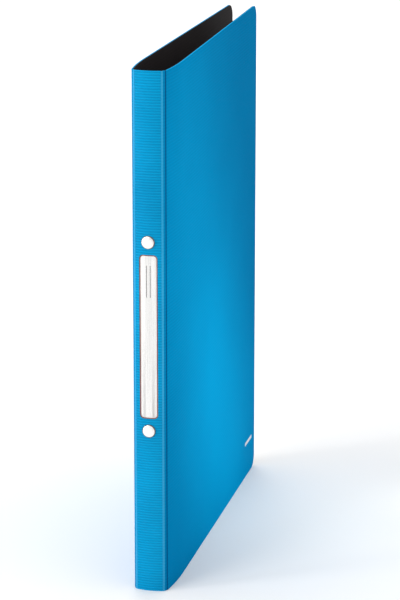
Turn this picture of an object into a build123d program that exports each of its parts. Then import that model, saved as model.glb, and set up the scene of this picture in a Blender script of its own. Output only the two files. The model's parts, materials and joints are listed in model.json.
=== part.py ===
from build123d import *
import os
from math import cos, degrees, radians, sin, sqrt

# A slim two-ring binder for A4 sheets, closed and standing on its lower edges.
# Sizes are in millimetres. +Z is up and the spine faces -Y. The front cover is on
# the +X side. The origin is the middle of the base.

# The case
height = 314.0            # of the spine and of both covers
depth = 240.0             # from the rivet heads to the covers' free edges
case_width = 20.4         # over both covers, at their creases
corner_radius = 8.5       # on the covers' free corners
skin = 0.7                # coloured outer layer of the sheet
lining = 0.5              # black inner layer, bonded to the skin
lining_inset = 0.6        # how far the lining stays inside the skin's cut edges
strip_width = 2.4         # between the two creases of each hinge
crease_gap = 0.46         # between two panels' round edges when they lie in line
bow_angle = 17.0          # how far the bowed spine has turned at its edges
flare_angle = 7.5         # how far a cover leans outward as it leaves its crease
lean_angle = 1.0          # how far it leans inward after the flare
flare_length = 30.0

# The label on the spine
label_width = 11.0
label_height = 99.0
label_radius = 2.5
card = 0.25
film = 0.2
label_play = 0.1          # round the card and the film in their window

# The ring mechanism
mid_z = height / 2
rivet_spacing = 114.0
ring_spacing = 80.0       # two-hole punching
housing_play = 0.25       # from the housing's sides to the spine panel's edges
housing_height = 4.7
housing_shoulder = 3.1    # height of the housing's side walls
shoulder_radius = 1.2
gauge = 0.6               # housing steel
lip_width = 1.6           # the housing's edges, turned in under the plates
housing_seat = 0.1        # from the housing's edges to the lining
plate = 0.8               # hinge plate steel
plate_play = 0.25         # between a plate's pivot edge and the housing wall
plate_rise = 1.35         # from the housing's edges to the plates' pivots
plate_set = 6.0           # the plates dip this many degrees when the rings are shut
plate_split = 0.15        # from the middle to each plate's inner edge
plate_end_gap = 2.0       # from a lever's pivot to the ends of the plates
post_play = 0.4           # round the mounting posts, in the plates

# Rings
ring_wire = 2.4
ring_room = 1.1           # from the rings to the covers' inner faces at their creases
ring_dip = 1.5            # how far the housing's crown reaches into the rings
ring_tip_gap = 0.1        # from the middle to each half ring's tip
leg_angle = 38.0          # how far below level the round part of a ring ends
ring_slot_play = 0.35
slot_start = 2.9          # from the middle to the near end of a ring's slot
slot_rise = 2.9           # from the housing's edges to the foot of a ring's slot

# Fasteners
rivet_head_diameter = 8.0
rivet_head = 0.9
rivet_rim_radius = 0.5
rivet_stem_diameter = 2.2
rivet_stem_length = 4.0
post_diameter = 5.0
post_neck_diameter = 3.6  # through the spine, and through the housing
post_flange_diameter = 6.0
post_flange = 0.7
hole_play = 0.1

# Levers
pivot_spacing = 145.0     # between the two levers' pivots
pin_diameter = 1.8
pin_rise = 2.25           # from the housing's edges to the levers' pivots
pin_play = 0.05
hub_diameter = 2.6
hub_width = 6.0
lever_width = 7.0
lever_sheet = 1.0
lever_run = 4.4           # from the pivot to the lever's bend
lever_bend = 2.2          # radius of the bend
lever_lean = 68.0         # how far the bend turns the tab
tab_length = 4.6
foot_reach = 3.2          # from the pivot to the toe under the plates
foot = 0.6
foot_width = 2.4
foot_gap = 0.3            # under the plates when the rings are shut
housing_overhang = 3.0    # past the levers' pivots
pad_wall = 0.8
pad_length = 4.2
pad_radius = 0.7

# Places that follow from the sizes above
sheet = skin + lining
edge_setback = sheet / 2 + crease_gap / 2
strip_angle = (bow_angle + 90 - flare_angle) / 2
cover_crease_x = case_width / 2 - sheet / 2
spine_crease_x = cover_crease_x - strip_width * cos(radians(strip_angle))
bow_radius = spine_crease_x / sin(radians(bow_angle))
spine_face_y = rivet_head - depth / 2
bow_centre_y = spine_face_y + sheet / 2 + bow_radius
spine_crease_y = bow_centre_y - bow_radius * cos(radians(bow_angle))
cover_crease_y = spine_crease_y + strip_width * sin(radians(strip_angle))
flare_turn = flare_angle + lean_angle
flare_radius = flare_length / radians(flare_turn)

lining_radius = bow_radius - sheet / 2
housing_half = spine_crease_x - sheet / 2 - housing_play
floor_y = bow_centre_y - sqrt(lining_radius**2 - housing_half**2) + housing_seat
crown_y = floor_y + housing_height
crown_drop = housing_height - housing_shoulder
crown_radius = (housing_half**2 + crown_drop**2) / (2 * crown_drop)
post_foot_y = bow_centre_y - sqrt(lining_radius**2 - (post_diameter / 2) ** 2)
post_top_y = crown_y - crown_radius + sqrt((crown_radius - gauge) ** 2 - (post_diameter / 2) ** 2)
pivot_x = housing_half - gauge - plate_play - plate / 2
pivot_y = floor_y + plate_rise
plate_width = pivot_x - plate_split
ring_radius = cover_crease_x - sheet / 2 - ring_room - ring_wire / 2
ring_bore = 2 * ring_radius - ring_wire
ring_y = crown_y + ring_bore / 2 - ring_dip
pin_y = floor_y + pin_rise
pin_z = mid_z + pivot_spacing / 2
plate_length = pivot_spacing - 2 * plate_end_gap
housing_length = pivot_spacing + 2 * housing_overhang

print("spine crease axis", spine_crease_x, spine_crease_y)
print("cover crease axis", cover_crease_x, cover_crease_y)
print("plate pivot", pivot_x, pivot_y, "lever pivot", pin_y, pin_z)


def save(piece, name):
    piece.part.label = name
    export_step(piece.part, f"parts/{name}.step")


# Lines that the sheet follows, at a distance outside its middle surface. Each is
# lengthened at both ends by the overrun.

def spine_line(outside, overrun):
    radius = bow_radius + outside
    half_angle = bow_angle - degrees((edge_setback - overrun) / bow_radius)
    CenterArc((0, bow_centre_y), radius, 270 - half_angle, 2 * half_angle)


def strip_line(outside, overrun):
    along = Vector(cos(radians(strip_angle)), sin(radians(strip_angle)))
    across = Vector(along.Y, -along.X)
    crease = Vector(spine_crease_x, spine_crease_y) + across * outside
    start = crease + along * (edge_setback - overrun)
    end = crease + along * (strip_width - edge_setback + overrun)
    Line(start, end)


def cover_line(outside, overrun):
    along = Vector(sin(radians(flare_angle)), cos(radians(flare_angle)))
    across = Vector(along.Y, -along.X)
    crease = Vector(cover_crease_x, cover_crease_y) + across * outside
    start = crease + along * edge_setback
    if overrun:
        Line(start - along * overrun, start)
    flare = JernArc(start, along, flare_radius + outside, flare_turn)
    PolarLine(flare @ 1, depth, direction=flare % 1)


def sheet_layer(line, inner, outer, name):
    """One layer of a panel. Both layers share the panel's round edges."""
    inset = lining_inset if inner < -sheet / 2 + lining / 2 else 0
    with BuildPart() as panel:
        with BuildSketch(Plane.XY.offset(inset)):
            with BuildLine() as middle:
                line(0, 0)
            trace(line_width=sheet)
            with Locations(middle.line @ 0, middle.line @ 1):
                Circle(sheet / 2)
            with BuildLine():
                line((inner + outer) / 2, sheet)
            trace(line_width=outer - inner, mode=Mode.INTERSECT)
        extrude(amount=height - 2 * inset)
        if line is cover_line:
            with BuildSketch(Plane.YZ) as blank:
                with Locations((-inset, mid_z)):
                    Rectangle(depth, height - 2 * inset)
                fillet(blank.vertices().group_by(Axis.X)[-1], corner_radius - inset)
            extrude(amount=case_width, both=True, mode=Mode.INTERSECT)
        if line is spine_line:
            with BuildSketch(Plane.XZ):
                with Locations((0, mid_z)):
                    with GridLocations(0, rivet_spacing, 1, 2):
                        Circle(post_neck_diameter / 2 + hole_play)
                    if not inset:
                        RectangleRounded(label_width, label_height, label_radius)
            extrude(amount=depth, both=True, mode=Mode.SUBTRACT)
    save(panel, name)
    return panel


def mirrored(piece, about, name):
    with BuildPart() as copy:
        mirror(piece.part, about=about)
    save(copy, name)
    return copy


os.makedirs("parts", exist_ok=True)
bond = sheet / 2 - skin   # where the lining meets the skin

# Spine, hinge strips and covers, each a skin and a lining
sheet_layer(spine_line, bond, sheet / 2, "spine_skin")
sheet_layer(spine_line, -sheet / 2, bond, "spine_lining")
for part_name, line in (("hinge", strip_line), ("cover", cover_line)):
    front_skin = sheet_layer(line, bond, sheet / 2, f"front_{part_name}_skin")
    front_lining = sheet_layer(line, -sheet / 2, bond, f"front_{part_name}_lining")
    mirrored(front_skin, Plane.YZ, f"back_{part_name}_skin")
    mirrored(front_lining, Plane.YZ, f"back_{part_name}_lining")


# Label card and clear film, in the window of the spine's skin
def label_layer(inner, thickness, name):
    with BuildPart() as layer:
        with BuildSketch():
            with BuildLine():
                spine_line(inner + thickness / 2, 0)
            trace(line_width=thickness)
        extrude(amount=height)
        with BuildSketch(Plane.XZ):
            with Locations((0, mid_z)):
                RectangleRounded(
                    label_width - 2 * label_play,
                    label_height - 2 * label_play,
                    label_radius - label_play,
                )
        extrude(amount=depth, both=True, mode=Mode.INTERSECT)
    save(layer, name)


label_layer(bond, card, "label_card")
label_layer(bond + card, film, "label_window")

# Mounting posts, staked in the housing, and the rivets pressed into them
for end, z in (("upper", mid_z + rivet_spacing / 2), ("lower", mid_z - rivet_spacing / 2)):
    outer_face = Plane((0, spine_face_y, z), x_dir=(1, 0, 0), z_dir=(0, -1, 0))
    with BuildPart() as post:
        with BuildSketch(outer_face.offset(spine_face_y - post_foot_y)):
            Circle(post_diameter / 2)
        extrude(amount=post_foot_y - post_top_y)
        with BuildSketch(outer_face):
            Circle(post_neck_diameter / 2)
        extrude(amount=spine_face_y - crown_y)
        with BuildSketch(outer_face.offset(spine_face_y - crown_y)):
            Circle(post_flange_diameter / 2)
        extrude(amount=-post_flange)
        with BuildSketch(outer_face):
            Circle(rivet_stem_diameter / 2)
        extrude(amount=-rivet_stem_length, mode=Mode.SUBTRACT)
    save(post, f"mount_post_{end}")
    with BuildPart() as rivet:
        with BuildSketch(outer_face):
            Circle(rivet_head_diameter / 2)
        extrude(amount=rivet_head)
        fillet(rivet.edges().group_by(Axis.Y)[0], rivet_rim_radius)
        with BuildSketch(outer_face):
            Circle(rivet_stem_diameter / 2)
        extrude(amount=-rivet_stem_length)
    save(rivet, f"rivet_{end}")

# Housing, a channel with its edges turned in under the hinge plates
with BuildPart() as ring_housing:
    with BuildSketch(Plane.XY.offset(mid_z - housing_length / 2)) as channel:
        with BuildLine():
            base = Line((-housing_half, floor_y), (housing_half, floor_y))
            wall = Line(base @ 1, (housing_half, floor_y + housing_shoulder))
            crown = ThreePointArc(wall @ 1, (0, crown_y), (-housing_half, floor_y + housing_shoulder))
            Line(crown @ 1, base @ 0)
        make_face()
        fillet(channel.vertices().group_by(Axis.Y)[-1], shoulder_radius)
        offset(amount=-gauge, mode=Mode.SUBTRACT)
        with Locations((0, floor_y)):
            Rectangle(2 * (housing_half - lip_width), 3 * gauge, mode=Mode.SUBTRACT)
    extrude(amount=housing_length)
    slot_width = ring_wire + 2 * ring_slot_play
    slot_length = housing_half - slot_start
    for side in (-1, 1):
        with BuildSketch(Plane.XZ.offset(-floor_y - slot_rise)):
            with Locations((side * (slot_start + slot_length), mid_z)):
                with GridLocations(0, ring_spacing, 1, 2):
                    Rectangle(2 * slot_length, slot_width)
        extrude(amount=-housing_height, mode=Mode.SUBTRACT)
    with BuildSketch(Plane.XZ.offset(-pin_y)):
        with Locations((0, mid_z)):
            with GridLocations(0, rivet_spacing, 1, 2):
                Circle(post_neck_diameter / 2)
    extrude(amount=-housing_height, mode=Mode.SUBTRACT)
    with BuildSketch(Plane.YZ):
        with Locations((pin_y, mid_z)):
            with GridLocations(0, pivot_spacing, 1, 2):
                Circle(pin_diameter / 2)
    extrude(amount=2 * housing_half, both=True, mode=Mode.SUBTRACT)
save(ring_housing, "ring_housing")

# Right hinge plate and its two half rings. The leg of a half ring runs straight
# on from its round part and through the plate.
toward_middle = Vector(-cos(radians(plate_set)), -sin(radians(plate_set)))
plate_normal = Vector(toward_middle.Y, -toward_middle.X)
plate_plane = Plane((pivot_x, pivot_y, mid_z - plate_length / 2), x_dir=toward_middle, z_dir=(0, 0, 1))
round_end = Vector(ring_radius * cos(radians(leg_angle)), ring_y - ring_radius * sin(radians(leg_angle)))
leg_way = Vector(-sin(radians(leg_angle)), -cos(radians(leg_angle)))
underside = Vector(pivot_x, pivot_y) - plate_normal * (plate / 2)
leg_length = (underside - round_end).dot(plate_normal) / leg_way.dot(plate_normal)
tip = Vector(ring_tip_gap, ring_y + sqrt(ring_radius**2 - ring_tip_gap**2))


def half_ring(z):
    lift = Vector(0, 0, z)
    with BuildPart() as half:
        with BuildLine() as path:
            ThreePointArc(tip + lift, Vector(ring_radius, ring_y, z), round_end + lift)
            Line(round_end + lift, round_end + leg_way * leg_length + lift)
        with BuildSketch(Plane(tip + lift, z_dir=(1, 0, 0))):
            Circle(ring_wire / 2)
        sweep(path=path.wire())
    return half


ring_heights = (("upper", mid_z + ring_spacing / 2), ("lower", mid_z - ring_spacing / 2))
with BuildPart() as hinge_plate_right:
    with BuildSketch(plate_plane):
        with Locations((plate_width / 2, 0)):
            Rectangle(plate_width, plate)
        Circle(plate / 2)
    extrude(amount=plate_length)
    with BuildSketch(Plane.XZ):
        with Locations((0, mid_z)):
            with GridLocations(0, rivet_spacing, 1, 2):
                Circle(post_diameter / 2 + post_play)
    extrude(amount=depth, both=True, mode=Mode.SUBTRACT)
    for end, z in ring_heights:
        with BuildSketch(Plane((round_end.X, round_end.Y, z), z_dir=leg_way)):
            Circle(ring_wire / 2)
        extrude(amount=2 * leg_length, mode=Mode.SUBTRACT)
save(hinge_plate_right, "hinge_plate_right")
mirrored(hinge_plate_right, Plane.YZ, "hinge_plate_left")
for end, z in ring_heights:
    ring_right = half_ring(z)
    save(ring_right, f"ring_{end}_right")
    mirrored(ring_right, Plane.YZ, f"ring_{end}_left")

# Upper lever: a hub on its pin, a foot that lifts the plates, and a thumb tab
shut_drop = plate_width * sin(radians(plate_set)) + plate / 2 * cos(radians(plate_set))
toe_y = pivot_y - shut_drop - foot_gap
with BuildPart() as lever_upper:
    with BuildSketch(Plane.YZ):
        with BuildLine() as arm:
            run = Line((pin_y, pin_z), (pin_y, pin_z + lever_run))
            turn = JernArc(run @ 1, run % 1, lever_bend, -lever_lean)
            PolarLine(turn @ 1, tab_length, direction=turn % 1)
        trace(line_width=lever_sheet)
    extrude(amount=lever_width / 2, both=True)
    with BuildSketch(Plane.YZ):
        with Locations((pin_y, pin_z)):
            Circle(hub_diameter / 2)
    extrude(amount=hub_width / 2, both=True)
    with BuildSketch(Plane.YZ):
        with Locations(((pin_y + toe_y - foot) / 2, pin_z)):
            Rectangle(pin_y - toe_y + foot, hub_diameter / 2)
        with Locations((toe_y - foot / 2, pin_z - foot_reach / 2)):
            Rectangle(foot, foot_reach)
    extrude(amount=foot_width / 2, both=True)
    with BuildSketch(Plane.YZ):
        with Locations((pin_y, pin_z)):
            Circle(pin_diameter / 2 + pin_play)
    extrude(amount=lever_width, both=True, mode=Mode.SUBTRACT)
save(lever_upper, "lever_upper")
tab_end = arm.line @ 1
tab_way = arm.line % 1
pad_plane = Plane((0, tab_end.X, tab_end.Y), x_dir=(1, 0, 0), z_dir=(0, tab_way.X, tab_way.Y))

# Thumb pad, moulded round the end of the tab
with BuildPart() as lever_pad_upper:
    with BuildSketch(pad_plane.offset(pad_wall)):
        Rectangle(lever_width + 2 * pad_wall, lever_sheet + 2 * pad_wall)
    extrude(amount=-pad_length - pad_wall)
    fillet(lever_pad_upper.edges(), pad_radius)
    with BuildSketch(pad_plane):
        Rectangle(lever_width, lever_sheet)
    extrude(amount=-2 * pad_length, mode=Mode.SUBTRACT)
save(lever_pad_upper, "lever_pad_upper")

with BuildPart() as lever_pin_upper:
    with BuildSketch(Plane.YZ):
        with Locations((pin_y, pin_z)):
            Circle(pin_diameter / 2)
    extrude(amount=housing_half, both=True)
save(lever_pin_upper, "lever_pin_upper")

mid_plane = Plane.XY.offset(mid_z)
mirrored(lever_upper, mid_plane, "lever_lower")
mirrored(lever_pad_upper, mid_plane, "lever_pad_lower")
mirrored(lever_pin_upper, mid_plane, "lever_pin_lower")
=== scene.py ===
import json
from math import cos, radians, sin, sqrt, tau

import bmesh
import bpy
from mathutils import Matrix, Vector
from mathutils.bvhtree import BVHTree


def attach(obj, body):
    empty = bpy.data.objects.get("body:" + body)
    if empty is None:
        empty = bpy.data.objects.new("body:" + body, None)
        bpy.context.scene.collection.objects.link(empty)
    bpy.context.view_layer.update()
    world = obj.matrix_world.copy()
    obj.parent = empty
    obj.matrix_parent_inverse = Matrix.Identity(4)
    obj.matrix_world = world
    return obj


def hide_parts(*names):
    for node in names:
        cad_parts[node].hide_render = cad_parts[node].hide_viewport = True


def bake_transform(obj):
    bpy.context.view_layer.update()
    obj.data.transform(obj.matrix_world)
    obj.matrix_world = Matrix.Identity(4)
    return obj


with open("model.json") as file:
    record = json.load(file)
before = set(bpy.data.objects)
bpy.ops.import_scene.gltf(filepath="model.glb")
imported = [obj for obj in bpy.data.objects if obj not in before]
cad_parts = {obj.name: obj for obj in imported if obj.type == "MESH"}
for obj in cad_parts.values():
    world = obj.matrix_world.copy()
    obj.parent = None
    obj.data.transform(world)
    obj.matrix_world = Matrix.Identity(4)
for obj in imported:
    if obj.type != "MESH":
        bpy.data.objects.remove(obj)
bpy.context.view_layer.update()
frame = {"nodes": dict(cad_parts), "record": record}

mm = 0.001
scene = bpy.context.scene
bodyOf = {n: b for b, members in frame["record"]["behaviour"]["bodies"].items() for n in members}


def hexColour(text):    # sRGB hex to linear
    channels = [int(text[i:i + 2], 16) / 255 for i in (1, 3, 5)]
    linear = [c / 12.92 if c <= 0.04045 else ((c + 0.055) / 1.055) ** 2.4 for c in channels]
    return (*linear, 1)


def addNode(tree, kind, links=None, inputs=None, **settings):
    node = tree.nodes.new(kind)
    for name, value in settings.items():
        setattr(node, name, value)
    for name, value in (inputs or {}).items():
        node.inputs[name].default_value = value
    for name, source in (links or {}).items():
        tree.links.new(source, node.inputs[name])
    return node


def startMaterial(name, **shaderInputs):
    material = bpy.data.materials.new(name)
    material.use_nodes = True
    tree = material.node_tree
    shader = tree.nodes["Principled BSDF"]
    for key, value in shaderInputs.items():
        shader.inputs[key.replace("_", " ")].default_value = value
    place = addNode(tree, "ShaderNodeTexCoord").outputs["Object"]
    return material, tree, shader, place


def ramp(tree, source, stops):
    node = addNode(tree, "ShaderNodeValToRGB", {"Fac": source})
    for i, (position, colour) in enumerate(stops):
        stop = node.color_ramp.elements[i] if i < 2 else node.color_ramp.elements.new(position)
        stop.position = position
        stop.color = hexColour(colour)
    return node.outputs["Color"]


def spread(tree, source, low, high):    # noise mostly lies between 0.3 and 0.7
    return addNode(
        tree, "ShaderNodeMapRange", {"Value": source},
        {"From Min": 0.3, "From Max": 0.7, "To Min": low, "To Max": high},
    ).outputs["Result"]


def noise(tree, place, size, detail):    # size in mm
    return addNode(
        tree, "ShaderNodeTexNoise", {"Vector": place}, {"Scale": 1 / (size * mm), "Detail": detail},
    ).outputs["Fac"]


def bumpFrom(tree, height, depth):    # depth in mm
    return addNode(
        tree, "ShaderNodeBump", {"Height": height}, {"Strength": 1.0, "Distance": depth * mm},
    ).outputs["Normal"]


patternSize = {    # mm
    "pebble": 0.5,     # the sheet's embossed grain
    "mottle": 45,      # the slow drift of its pigment
    "fibre": 0.6,      # card
    "haze": 8,         # clear film
    "shadowLineDrift": 3,       # the painted shadow line round the label window
    "spark": 0.3,      # mould texture
}
fineDepth = 0.02       # mm, relief of card fibres and of mould texture


# Polypropylene sheet, extruded and then embossed by a ribbed roller: deep satin colour
# with a faint gloss, fine level ribs, a pebbled grain and a slow mottle of the pigment.
def polypropyleneSheet(name, sheet):
    material, tree, shader, place = startMaterial(
        name, IOR=1.49, Specular_IOR_Level=sheet["specular"],
        Coat_Weight=sheet["gloss"], Coat_Roughness=0.3, Coat_IOR=1.49,
    )
    axes = addNode(tree, "ShaderNodeSeparateXYZ", {"Vector": place}).outputs
    turns = addNode(
        tree, "ShaderNodeMath", {0: axes["Z"]}, {1: tau / (sheet["ribPitch"] * mm)},
        operation="MULTIPLY",
    ).outputs[0]
    rib = addNode(tree, "ShaderNodeMath", {0: turns}, operation="SINE").outputs[0]
    grain = noise(tree, place, patternSize["pebble"], 2.0)
    relief = addNode(
        tree, "ShaderNodeMath", {0: grain, 2: rib}, {1: sheet["grain"]}, operation="MULTIPLY_ADD",
    ).outputs[0]
    bump = bumpFrom(tree, relief, sheet["ribDepth"])
    mottle = noise(tree, place, patternSize["mottle"], 3.0)
    # the ribs change the base colour: painted shade in their valleys and a painted highlight on their
    # crests, over the pigment's mottle
    tone = addNode(
        tree, "ShaderNodeMath", {0: rib, 2: mottle}, {1: sheet["ribPaintedShade"]}, operation="MULTIPLY_ADD",
    ).outputs[0]
    tree.links.new(ramp(tree, tone, sheet["colours"]), shader.inputs["Base Color"])
    low, high = (sheet["roughness"] + change for change in (-0.05, 0.05))
    tree.links.new(spread(tree, mottle, low, high), shader.inputs["Roughness"])
    tree.links.new(bump, shader.inputs["Normal"])
    return material


spineLitBlue = polypropyleneSheet("polypropyleneRibbedPaintedLightBlue", {
    "colours": [(0.1, "#0080B2"), (0.9, "#00A0D6")],    # paler than the covers' blue of the same sheet, painted light on the spine; painted shade in the rib valleys, a painted highlight on the crests
    "ribPitch": 1.6,    # 1.2 on the real sheet, drawn coarser so that it shows
    "ribDepth": 0.1, "ribPaintedShade": 0.27, "grain": 0.3,
    "roughness": 0.5, "specular": 0.0, "gloss": 0.12,
})
coverBlue = polypropyleneSheet("polypropyleneSatinBlue", {
    "colours": [(0.1, "#007DB5"), (0.9, "#0085BE")],
    "ribPitch": 1.9, "ribDepth": 0.02, "ribPaintedShade": 0.35, "grain": 0.5,
    "roughness": 0.55, "specular": 0.0, "gloss": 0.015,
})
cutEdgeHighlightBlue = polypropyleneSheet("polypropyleneCutEdgePaintedHighlight", {
    "colours": [(0.1, "#009AD4"), (0.9, "#00ACE8")],    # painted highlight: the sheet's trimmed edges are drawn paler, as if catching the light
    "ribPitch": 0.8, "ribDepth": 0.02, "ribPaintedShade": 0.1, "grain": 1.0,
    "roughness": 0.6, "specular": 0.0, "gloss": 0.05,
})
creaseWhiteningAndHighlightBlue = polypropyleneSheet("polypropyleneCreaseWhiteningAndHighlight", {
    "colours": [(0.1, "#1C94C8"), (0.9, "#34A6D6")],    # paler: a painted highlight along the fold, and the whitening of the thin web of a living hinge when folded
    "ribPitch": 1.9, "ribDepth": 0.03, "ribPaintedShade": 0.1, "grain": 0.4,
    "roughness": 0.4, "specular": 0.0, "gloss": 0.3,
})
grooveShadeBlue = polypropyleneSheet("polypropyleneGroovePaintedShade", {
    "colours": [(0.1, "#004676"), (0.9, "#005084")],    # painted shade: the scored groove is drawn deeper blue, as if in shadow
    "ribPitch": 1.9, "ribDepth": 0.02, "ribPaintedShade": 0.1, "grain": 0.4,
    "roughness": 0.5, "specular": 0.0, "gloss": 0.05,
})
liningBlack = polypropyleneSheet("polypropyleneMattBlack", {
    "colours": [(0.1, "#322E2F"), (0.9, "#3C3839")],
    "ribPitch": 1.9, "ribDepth": 0.02, "ribPaintedShade": 0.1, "grain": 0.6,
    "roughness": 0.6, "specular": 0.0, "gloss": 0.08,
})


def indexCard(card):    # uncoated white card: faint fibres, very matt, with plain grey rules
    material, tree, shader, place = startMaterial(
        "uncoatedCardWhite", Roughness=0.85, Specular_IOR_Level=0.1,
    )
    axes = addNode(tree, "ShaderNodeSeparateXYZ", {"Vector": place}).outputs
    fibre = noise(tree, place, patternSize["fibre"], 4.0)
    paper = ramp(tree, fibre, [(0.3, card["paper"][0]), (0.7, card["paper"][1])])
    marks = None
    for across in card["rules"]:
        line = addNode(
            tree, "ShaderNodeMath", {0: axes["X"]},
            {1: across * mm, 2: card["ruleWidth"] / 2 * mm}, operation="COMPARE",
        ).outputs[0]
        marks = line if marks is None else addNode(
            tree, "ShaderNodeMath", {0: marks, 1: line}, operation="MAXIMUM",
        ).outputs[0]
    low, high = card["ruleReach"]
    within = addNode(
        tree, "ShaderNodeMath", {0: axes["Z"]},
        {1: (low + high) / 2 * mm, 2: (high - low) / 2 * mm}, operation="COMPARE",
    ).outputs[0]
    ruled = addNode(tree, "ShaderNodeMath", {0: marks, 1: within}, operation="MULTIPLY").outputs[0]
    mix = addNode(tree, "ShaderNodeMix", data_type="RGBA")
    tree.links.new(ruled, mix.inputs["Factor"])
    tree.links.new(paper, mix.inputs[6])    # 6 and 7 are its two colours, output 2 the mixed one
    mix.inputs[7].default_value = hexColour(card["ink"])
    bump = bumpFrom(tree, fibre, fineDepth)
    tree.links.new(mix.outputs[2], shader.inputs["Base Color"])
    tree.links.new(spread(tree, fibre, 0.8, 0.9), shader.inputs["Roughness"])
    tree.links.new(bump, shader.inputs["Normal"])
    return material


def clearFilm():    # clear polypropylene film, seen only by its sheen and its slight haze
    material, tree, shader, place = startMaterial(
        "clearPolypropyleneFilm", Base_Color=hexColour("#FFFFFF"), Alpha=0.07, IOR=1.49,
    )
    haze = noise(tree, place, patternSize["haze"], 2.0)
    tree.links.new(spread(tree, haze, 0.16, 0.26), shader.inputs["Roughness"])
    return material


def windowShadowLine():    # painted shadow: a brownish shadow line round the label window
    material, tree, shader, place = startMaterial("labelWindowPaintedShadow", IOR=1.49, Specular_IOR_Level=0.1)
    shadowLineDrift = noise(tree, place, patternSize["shadowLineDrift"], 2.0)
    tree.links.new(ramp(tree, shadowLineDrift, [(0.3, "#7E4834"), (0.7, "#9C6248")]), shader.inputs["Base Color"])
    tree.links.new(spread(tree, shadowLineDrift, 0.4, 0.6), shader.inputs["Roughness"])
    return material


# Nickel or zinc over drawn steel: bright or soft grey, with a faint drift in tone and sheen.
def platedSteel(name, colours, roughness, grainSize):
    material, tree, shader, place = startMaterial(name, Metallic=1.0)
    grain = noise(tree, place, grainSize, 3.0)
    tree.links.new(ramp(tree, grain, [(0.3, colours[0]), (0.7, colours[1])]), shader.inputs["Base Color"])
    tree.links.new(spread(tree, grain, roughness * 0.8, roughness * 1.2), shader.inputs["Roughness"])
    return material


def mouldedBlack():    # ABS thumb pads, near black, dulled by the mould's spark-eroded texture
    material, tree, shader, place = startMaterial("absTexturedBlack", IOR=1.53)
    grain = noise(tree, place, patternSize["spark"], 2.0)
    bump = bumpFrom(tree, grain, fineDepth)
    tree.links.new(ramp(tree, grain, [(0.3, "#141414"), (0.7, "#1C1C1D")]), shader.inputs["Base Color"])
    tree.links.new(spread(tree, grain, 0.34, 0.46), shader.inputs["Roughness"])
    tree.links.new(bump, shader.inputs["Normal"])
    return material


cardLook = {
    "paper": ("#EAE9E7", "#F3F2F1"),
    "ink": "#4A4746",
    "rules": (-1.1, 1.1),     # mm from the spine's middle
    "ruleWidth": 0.4,
    "ruleReach": (181, 200),  # mm above the foot
}
cardWhite = indexCard(cardLook)
filmClear = clearFilm()
windowShadowFinish = windowShadowLine()
rivetNickel = platedSteel("nickelPlatedRivet", ("#F6F4F1", "#FDFCFA"), 0.42, 1.5)
# darker grey for the rivet's rim and stem: painted shade round the head's edge
rivetRimShade = platedSteel("nickelRivetRimPaintedShade", ("#6E5F57", "#85756B"), 0.45, 1.5)
ringNickel = platedSteel("nickelPlatedWire", ("#CFCCC6", "#DCD9D3"), 0.16, 2.0)
plateZinc = platedSteel("zincPlatedSteel", ("#A9ADB0", "#B9BDC0"), 0.34, 1.2)
foilSilver = platedSteel("hotStampedSilverFoil", ("#C4C8CC", "#D4D8DC"), 0.35, 1.0)
padBlack = mouldedBlack()
print("finishes made")

softEdges = {
    "weld": 0.002,                 # mm, corners closer than this are one
    "flatAngle": radians(0.2),     # faces that turn less than this are one
    "sharpAngle": radians(35),
    "segments": 2,
    "cutFacing": 0.8,              # squared cosine, above which a face is a trimmed end of the sheet, drawn with the painted highlight
}
sheetHeight = 314    # mm


def shadeSmooth(shape, sharp):
    for face in shape.faces:
        face.smooth = True
    for seam in shape.edges:
        seam.smooth = not (seam.is_manifold and seam.calc_face_angle(0) > sharp)


def vertsOf(geometry):
    return [g for g in geometry if isinstance(g, bmesh.types.BMVert)]


def addPiece(name, mesh, *materials):
    for material in materials:
        mesh.materials.append(material)
    piece = bpy.data.objects.new(name, mesh)
    scene.collection.objects.link(piece)
    return piece


# Redraws a built node with softened edges, edge mm wide, and gives its trimmed ends a paler finish, a
# painted highlight.
def softCopy(node, name, material, edge, cutEdgeHighlight=None, foreEdge=False, stretch=1):
    mesh = frame["nodes"][node].data.copy()
    mesh.materials.clear()
    piece = addPiece(name, mesh, *((material, cutEdgeHighlight) if cutEdgeHighlight else (material,)))
    shape = bmesh.new()
    shape.from_mesh(mesh)
    bmesh.ops.remove_doubles(shape, verts=shape.verts, dist=softEdges["weld"] * mm)
    bmesh.ops.dissolve_limit(
        shape, angle_limit=softEdges["flatAngle"], verts=shape.verts, edges=shape.edges,
        use_dissolve_boundaries=False,
    )
    middle = sheetHeight / 2 * mm
    for vert in shape.verts:
        vert.co.z = middle + (vert.co.z - middle) * stretch
    for face in shape.faces:
        # faces turned up or down, and with foreEdge the fore edge, take the paler painted-highlight finish
        outward = face.normal.z ** 2 + (max(face.normal.y, 0) ** 2 if foreEdge else 0)
        face.material_index = int(cutEdgeHighlight is not None and outward > softEdges["cutFacing"])
    shadeSmooth(shape, softEdges["sharpAngle"])
    shape.to_mesh(mesh)
    shape.free()
    if edge:
        bevel = piece.modifiers.new("softEdge", "BEVEL")
        bevel.width = edge * mm
        bevel.segments = softEdges["segments"]
        bevel.limit_method = "ANGLE"
        bevel.angle_limit = softEdges["sharpAngle"]
        bevel.harden_normals = True
    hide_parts(node)
    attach(piece, bodyOf[node])
    return piece


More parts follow.
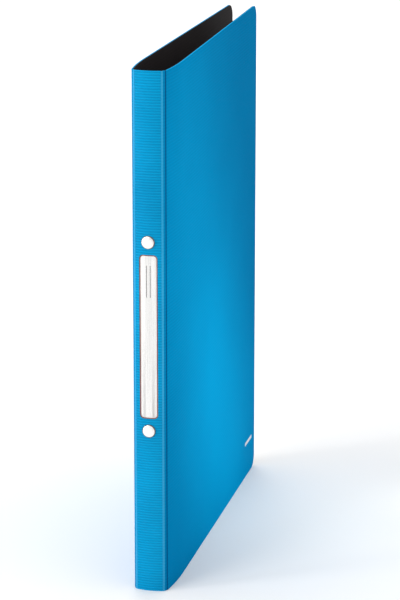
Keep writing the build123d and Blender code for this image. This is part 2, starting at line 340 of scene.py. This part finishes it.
blue, black = "blue_polypropylene", "black_polypropylene"
liningInset = {"built": 0.6, "drawn": 0.15}    # mm, the black film's distance from the sheet's ends
liningStretch = (sheetHeight - 2 * liningInset["drawn"]) / (sheetHeight - 2 * liningInset["built"])
softCopy("spine_skin", "spineSkin", spineLitBlue, 0.12, cutEdgeHighlightBlue)
softCopy("spine_lining", "spineLining", liningBlack, 0.08, stretch=liningStretch)
for side in ("front", "back"):
    softCopy(f"{side}_hinge_skin", f"{side}HingeSkin", coverBlue, 0, cutEdgeHighlightBlue)
    softCopy(f"{side}_hinge_lining", f"{side}HingeLining", liningBlack, 0, stretch=liningStretch)
    softCopy(f"{side}_cover_skin", f"{side}CoverSkin", coverBlue, 0.12, cutEdgeHighlightBlue, foreEdge=True)
    softCopy(f"{side}_cover_lining", f"{side}CoverLining", liningBlack, 0.08, stretch=liningStretch)
softCopy("ring_housing", "ringHousing", ringNickel, 0.1)
for end in ("upper", "lower"):
    softCopy(f"mount_post_{end}", f"{end}MountPost", plateZinc, 0.12)
    softCopy(f"lever_{end}", f"{end}Lever", plateZinc, 0.12)
    softCopy(f"lever_pin_{end}", f"{end}LeverPin", plateZinc, 0.15)
    softCopy(f"lever_pad_{end}", f"{end}LeverPad", padBlack, 0)
for side in ("left", "right"):
    softCopy(f"hinge_plate_{side}", f"{side}HingePlate", plateZinc, 0.1)
    for end in ("upper", "lower"):
        softCopy(f"ring_{end}_{side}", f"{end}{side.title()}HalfRing", ringNickel, 0.25)
print("sheet and mechanism finished")

spineBow = {"radius": 27.531, "sheet": 1.2, "skin": 0.7, "face": -119.1}    # mm, the spine's middle line
bowCentre = (spineBow["face"] + spineBow["sheet"] / 2 + spineBow["radius"]) * mm


def bowTo(shape, outside):    # lays a flat piece, drawn about y = 0, on the spine's bow
    for vert in shape.verts:
        radius = (spineBow["radius"] + outside) * mm - vert.co.y
        vert.co.y = bowCentre - sqrt(radius ** 2 - vert.co.x ** 2)


def cutColumns(shape, width, columns):    # upright cuts, so that a plate can follow the bow
    for i in range(1, columns):
        bmesh.ops.bisect_plane(
            shape, geom=shape.verts[:] + shape.edges[:] + shape.faces[:],
            plane_co=((i / columns - 0.5) * width * mm, 0, 0), plane_no=(1, 0, 0),
        )


def roundedPlate(width, height, corner, middle):
    shape = bmesh.new()
    bmesh.ops.create_grid(shape, x_segments=1, y_segments=1, size=0.5)
    bmesh.ops.scale(shape, vec=(width * mm, height * mm, 1), verts=shape.verts)
    bmesh.ops.bevel(
        shape, geom=shape.verts[:], offset=corner * mm, offset_type="OFFSET", affect="VERTICES",
        segments=8, profile=0.5, material=-1,
    )
    bmesh.ops.rotate(shape, matrix=Matrix.Rotation(radians(90), 3, "X"), verts=shape.verts)
    bmesh.ops.translate(shape, vec=(0, 0, middle * mm), verts=shape.verts)
    return shape


def thickenTo(shape, outside):    # gives a bowed plate its thickness, out to a new bow
    radius = (spineBow["radius"] + outside) * mm
    for vert in vertsOf(bmesh.ops.extrude_face_region(shape, geom=shape.faces[:])["geom"]):
        vert.co.y = bowCentre - sqrt(radius ** 2 - vert.co.x ** 2)


def finishShape(shape, name, *materials, sharp=softEdges["sharpAngle"]):
    bmesh.ops.recalc_face_normals(shape, faces=shape.faces)
    shadeSmooth(shape, sharp)
    mesh = bpy.data.meshes.new(name)
    shape.to_mesh(mesh)
    shape.free()
    return addPiece(name, mesh, *materials)


labelParts = {
    # seam, seamRise and seamBite give the width, rise and sink of the painted shadow line round the window
    "width": 10.8, "height": 98.8, "corner": 2.4, "middle": 157, "columns": 16,
    "card": 0.25, "film": 0.2, "seam": 0.5, "seamRise": 0.12, "seamBite": 0.02,
}


def labelLayer(name, inside, thickness, material, node):
    part = labelParts
    shape = roundedPlate(part["width"], part["height"], part["corner"], part["middle"])
    cutColumns(shape, part["width"], part["columns"])
    bowTo(shape, inside)
    thickenTo(shape, inside + thickness)
    layer = finishShape(shape, name, material)
    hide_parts(node)
    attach(layer, "spine")


bond = spineBow["sheet"] / 2 - spineBow["skin"]
labelLayer("labelCard", bond, labelParts["card"], cardWhite, "label_card")
onCard = bond + labelParts["card"]
labelLayer("labelFilm", onCard, labelParts["film"], filmClear, "label_window")


def labelShadowLine():    # a painted shadow line, a thin band round the label window
    part = labelParts
    shape = roundedPlate(part["width"], part["height"], part["corner"], part["middle"])
    inset = bmesh.ops.inset_region(
        shape, faces=shape.faces[:], thickness=part["seam"] * mm,
        use_boundary=True, use_even_offset=True,
    )["faces"]
    bmesh.ops.delete(shape, geom=[f for f in shape.faces if f not in inset], context="FACES")
    cutColumns(shape, part["width"], part["columns"])
    base = bond + part["card"] + part["film"] - part["seamBite"]
    bowTo(shape, base)
    thickenTo(shape, base + part["seamRise"])
    seam = finishShape(shape, "labelWindowShadowRim", windowShadowFinish)
    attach(seam, "spine")


labelShadowLine()
print("label finished")

rivetTurning = {    # radius and y in mm, from the middle of the crown to the end of the stem
    "profile": [
        (0, -120.0), (1.2, -119.985), (2.2, -119.92), (3.0, -119.79), (3.55, -119.62), (3.86, -119.42),
        (3.99, -119.2), (3.98, -119.1), (3.7, -119.06), (1.15, -119.06), (1.1, -119.0),
        (1.1, -115.3), (0.95, -115.1), (0, -115.1),
    ],
    "steps": 64,
    "weld": 0.001,        # mm
    "wallSlope": -0.9,    # faces that look less squarely outward than this are rim or stem
    "sharpAngle": radians(50),
    "heights": {"upper": 214, "lower": 100},
}
for end, height in rivetTurning["heights"].items():
    shape = bmesh.new()
    line = [shape.verts.new((r * mm, y * mm, height * mm)) for r, y in rivetTurning["profile"]]
    edges = [shape.edges.new(pair) for pair in zip(line, line[1:])]
    bmesh.ops.spin(
        shape, geom=line + edges, cent=(0, 0, height * mm), axis=(0, 1, 0), angle=tau,
        steps=rivetTurning["steps"], use_merge=True,
    )
    bmesh.ops.remove_doubles(shape, verts=shape.verts, dist=rivetTurning["weld"] * mm)
    bmesh.ops.recalc_face_normals(shape, faces=shape.faces)
    for face in shape.faces:    # the rim and the stem are drawn darker grey: painted shade round the head's edge
        face.material_index = int(face.normal.y > rivetTurning["wallSlope"])
    rivet = finishShape(
        shape, f"{end}Rivet", rivetNickel, rivetRimShade, sharp=rivetTurning["sharpAngle"],
    )
    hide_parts(f"rivet_{end}")
    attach(rivet, "spine")
print("rivets turned")

creases = {    # mm and degrees, on the front side: where the sheet is scored, and how it runs there
    "spine": {"at": (8.049, -117.297), "before": 17.0, "after": 49.75, "bodies": ("spine", "{}_hinge")},
    "cover": {"at": (9.6, -115.465), "before": 49.75, "after": 82.5, "bodies": ("{}_hinge", "{}_cover")},
}
creaseWebs = {    # name, out from the middle of the sheet, thickness, short of each end, finish, slot
    "spine": [("Bead", 0.36, 0.3, 0.0, creaseWhiteningAndHighlightBlue, blue), ("Liner", -0.34, 0.2, 0.15, liningBlack, black)],
    "cover": [("Groove", 0.12, 0.3, 0.0, grooveShadeBlue, blue), ("Liner", -0.34, 0.2, 0.15, liningBlack, black)],
}
webSize = {"reach": 0.62, "columns": 6}    # reach in mm, each side of the crease's axis


def makeWeb(side, crease, tail, outside, thickness, short, material, slot):
    place = creases[crease]
    turn = (place["before"] + place["after"]) / 2
    along = Vector((cos(radians(turn)), sin(radians(turn)), 0))
    across = Vector((along.y, -along.x, 0))
    axis = Vector((*place["at"], 0)) * mm
    reach = along * webSize["reach"] * mm
    shape = bmesh.new()
    bmesh.ops.create_grid(shape, x_segments=webSize["columns"], y_segments=1, size=0.5)
    for vert in shape.verts:
        u, v = vert.co.x * 2, vert.co.y + 0.5
        vert.co = axis + reach * u + across * (outside - thickness / 2) * mm
        vert.co.z = (short + v * (sheetHeight - 2 * short)) * mm
    wall = bmesh.ops.extrude_face_region(shape, geom=shape.faces[:])["geom"]
    bmesh.ops.translate(shape, vec=across * thickness * mm, verts=vertsOf(wall))
    start, end = axis - reach, axis + reach
    if side == "back":
        for vert in shape.verts:
            vert.co.x *= -1
        start.x, end.x = -start.x, -end.x
    web = finishShape(shape, f"{side}{crease.title()}Crease{tail}", material)
    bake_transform(web)


for side in ("front", "back"):
    for crease, webs in creaseWebs.items():
        for web in webs:
            makeWeb(side, crease, *web)
print("creases joined")

foilMark = {    # mm, a plain bar where the cover carries its mark
    "width": 20, "height": 2.2, "corner": 0.5, "y": 101, "z": 23, "rise": 0.03, "clear": 0.005,
}
shape = bmesh.new()
shape.from_mesh(frame["nodes"]["front_cover_skin"].data)
spot, facing, _, _ = BVHTree.FromBMesh(shape).ray_cast(    # from outside, straight onto the cover
    Vector((1, foilMark["y"] * mm, foilMark["z"] * mm)), Vector((-1, 0, 0)),
)
shape.free()
shape = roundedPlate(foilMark["width"], foilMark["height"], foilMark["corner"], 0)
wall = bmesh.ops.extrude_face_region(shape, geom=shape.faces[:])["geom"]
bmesh.ops.translate(shape, vec=(0, -foilMark["rise"] * mm, 0), verts=vertsOf(wall))
bmesh.ops.rotate(shape, matrix=facing.to_track_quat("-Y", "Z").to_matrix(), verts=shape.verts)
bmesh.ops.translate(shape, vec=spot + facing * foilMark["clear"] * mm, verts=shape.verts)
mark = finishShape(shape, "coverFoilBar", foilSilver)
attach(mark, "front_cover")
print("foil bar stamped")

studio = {
    "floorSize": 30.0,    # metres
    "floor": "#F8F8F8",
    "world": "#FFFFFF",
    "worldStrength": 0.5,
}
ground = bmesh.new()
bmesh.ops.create_grid(ground, x_segments=1, y_segments=1, size=studio["floorSize"] / 2)
floorMesh = bpy.data.meshes.new("studioFloor")
ground.to_mesh(floorMesh)
ground.free()
floorPaint = startMaterial(
    "studioPaper", Base_Color=hexColour(studio["floor"]), Roughness=0.95, Specular_IOR_Level=0.0,
)[0]
addPiece("studioFloor", floorMesh, floorPaint)

world = bpy.data.worlds.new("softStudio")
world.use_nodes = True
world.node_tree.nodes["Background"].inputs["Color"].default_value = hexColour(studio["world"])
world.node_tree.nodes["Background"].inputs["Strength"].default_value = studio["worldStrength"]
scene.world = world
scene.view_settings.view_transform = "Standard"


def softLight(name, place, aim, size, power, tint="#FFFFFF", beam=180):
    lamp = bpy.data.lights.new(name, "AREA")
    lamp.shape = "RECTANGLE"
    lamp.size, lamp.size_y = size
    lamp.energy = power
    lamp.color = hexColour(tint)[:3]
    lamp.spread = radians(beam)
    light = bpy.data.objects.new(name, lamp)
    light.location = place
    light.rotation_euler = (Vector(aim) - Vector(place)).to_track_quat("-Z", "Y").to_euler()
    light.visible_camera = False
    scene.collection.objects.link(light)


lights = {    # place, aim, size and power, in metres and watts, then tint and beam in degrees
    "keyLight": ((-1.1, -1.8, 1.1), (0, -0.1, 0.2), (0.9, 0.9), 15),
    "edgeLight": ((-1.3, -0.9, 0.5), (0, -0.12, 0.16), (0.3, 0.9), 8),
    "overhead": ((0, 0.8, 3), (0, 0.8, 0), (4, 4), 50),
    "backdropLight": ((-0.4, 1.9, 2.2), (-0.4, 1.7, 0), (1.6, 1.6), 22),
    "coverLight": ((0.25, 0.0, 0.095), (0.01, 0.0, 0.09), (0.05, 0.12), 0.048, "#FFF8E0", 55),
    "lowLight": ((0.25, 0.07, 0.03), (0.01, 0.07, 0.02), (0.05, 0.05), 0.016, "#FFF8E0", 50),
    "bandLight": ((0.3, -0.08, 0.24), (0.01, -0.08, 0.22), (0.06, 0.2), 0.06, "#FFF8E0", 60),
}
for name, settings in lights.items():
    softLight(name, *settings)

view = {    # degrees and metres, the lens in mm
    "azimuth": 14.106,
    "elevation": 15.656,
    "distance": 1.67909,
    "aside": 0.884 * mm,
    "height": 147.37 * mm,
    "lens": 161.954,
    "farClip": 20,
}
azimuth, elevation = radians(view["azimuth"]), radians(view["elevation"])
target = Vector((cos(azimuth), sin(azimuth), 0)) * view["aside"] + Vector((0, 0, view["height"]))
back = Vector((sin(azimuth) * cos(elevation), -cos(azimuth) * cos(elevation), sin(elevation)))
camera = bpy.data.objects.new("camera", bpy.data.cameras.new("camera"))
camera.data.lens = view["lens"]
camera.data.clip_end = view["farClip"]
camera.location = target + back * view["distance"]
camera.rotation_mode = "QUATERNION"
camera.rotation_quaternion = (-back).to_track_quat("-Z", "Y")
scene.collection.objects.link(camera)
scene.camera = camera
print("stage set")
